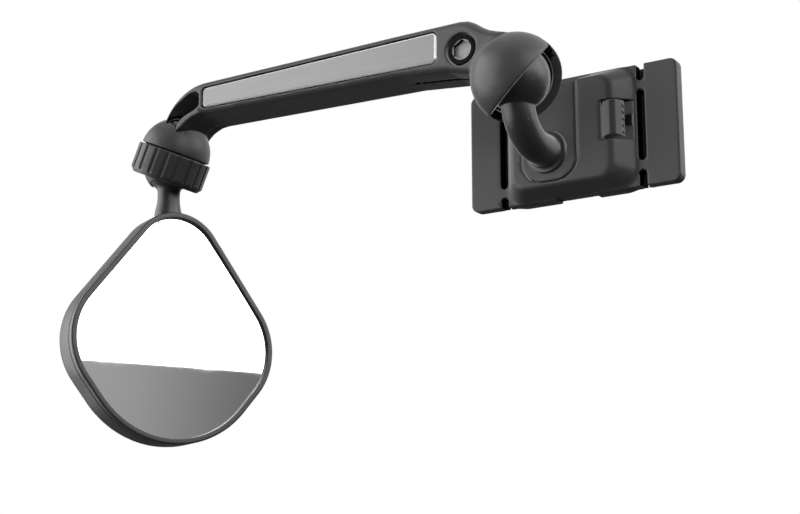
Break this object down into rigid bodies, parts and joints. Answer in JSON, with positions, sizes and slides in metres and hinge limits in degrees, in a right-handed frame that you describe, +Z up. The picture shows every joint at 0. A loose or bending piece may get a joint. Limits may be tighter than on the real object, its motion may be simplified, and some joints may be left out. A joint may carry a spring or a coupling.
{
  "type": "bike helmet mirror",
  "caption": "Rear-view mirror for a cycling helmet: a strap or stick-on base with a quick-release tongue, a ball-jointed arm with a metal inlay, and a convex teardrop mirror.",
  "frame": {"origin": "middle of the base's mounting face", "axes": "+X along the base, away from the arm; +Z up along the tongue's slide; +Y into the surface it is mounted on, so the part stands in -Y"},
  "size_m": [0.1374, 0.05, 0.086],
  "materials": {
    "base_plastic": "fine moulded texture",
    "latch_plastic": "fine moulded texture",
    "stem_plastic": "smooth satin",
    "arm_plastic": "fine moulded texture",
    "ring_plastic": "fine moulded texture",
    "shell_plastic": "fine moulded texture",
    "bezel_plastic": "satin",
    "liner": "smooth low-friction plastic",
    "tape": "adhesive film",
    "foam": "closed-cell foam",
    "steel": "satin",
    "spring_steel": "bright",
    "inlay": "satin, fine brushed",
    "mirror": "convex silvered glass"
  },
  "bodies": {
    "base": {"receiver": "base_plastic", "back_cover": "base_plastic", "cover_screws": "steel", "adhesive_pad": "foam", "catch_spring": "spring_steel"},
    "latch": {"release_latch": "latch_plastic"},
    "foot": {"slide_tongue": "base_plastic", "ball_stem": "stem_plastic", "stem_screw": "steel"},
    "liner": {"ball_liner": "liner"},
    "arm": {"arm_body": "arm_plastic", "clamp_washer": "steel", "clamp_nut": "steel", "inlay_tape": "tape", "inlay_plate": "inlay", "seat_spring": "spring_steel"},
    "clamp": {"clamp_screw": "steel"},
    "ring": {"lock_ring": "ring_plastic"},
    "seat": {"friction_seat": "liner"},
    "mirror_cup": {"mirror_liner": "liner"},
    "mirror_head": {"mirror_stem": "stem_plastic", "back_shell": "shell_plastic", "bezel": "bezel_plastic", "glass_pad": "foam", "mirror_glass": "mirror", "stem_bolts": "steel"}
  },
  "joints": [
    {"name": "latch_press", "type": "slide", "parent": "base", "child": "latch", "axis": [0, 1, 0], "range_m": [0, 0.0009], "stiffness_N_per_m": 1500, "springref_m": -0.0006},
    {"name": "tongue_slide", "type": "slide", "parent": "base", "child": "foot", "axis": [0, 0, 1], "range_m": [0, 0.026], "deforming": ["catch_spring"]},
    {"name": "arm_swivel", "type": "hinge", "parent": "foot", "child": "liner", "pos_m": [-0.0039, -0.0208, 0.0089], "axis": [0, 0, 1], "range_deg": [-8, 188]},
    {"name": "arm_raise", "type": "hinge", "parent": "liner", "child": "arm", "pos_m": [-0.0039, -0.0208, 0.0089], "axis": [0, 1, 0], "range_deg": [-3, 85]},
    {"name": "clamp_turn", "type": "hinge", "parent": "arm", "child": "clamp", "pos_m": [-0.0139, -0.0208, 0.0156], "axis": [0, -1, 0], "range_deg": [0, 180]},
    {"name": "ring_turn", "type": "hinge", "parent": "arm", "child": "ring", "pos_m": [-0.098, -0.0208, 0.00795], "axis": [-0.4051, 0, -0.9143], "range_deg": [0, 180]},
    {"name": "mirror_spin", "type": "hinge", "parent": "arm", "child": "seat", "pos_m": [-0.0997, -0.0208, 0.00411], "axis": [0.4051, 0, 0.9143], "continuous": true},
    {"name": "mirror_tilt", "type": "hinge", "parent": "seat", "child": "mirror_cup", "pos_m": [-0.0997, -0.0208, 0.00411], "axis": [0, 1, 0], "range_deg": [-4, 51]},
    {"name": "mirror_swivel", "type": "hinge", "parent": "mirror_cup", "child": "mirror_head", "pos_m": [-0.0997, -0.0208, 0.00411], "axis": [0, 0, 1], "continuous": true}
  ]
}
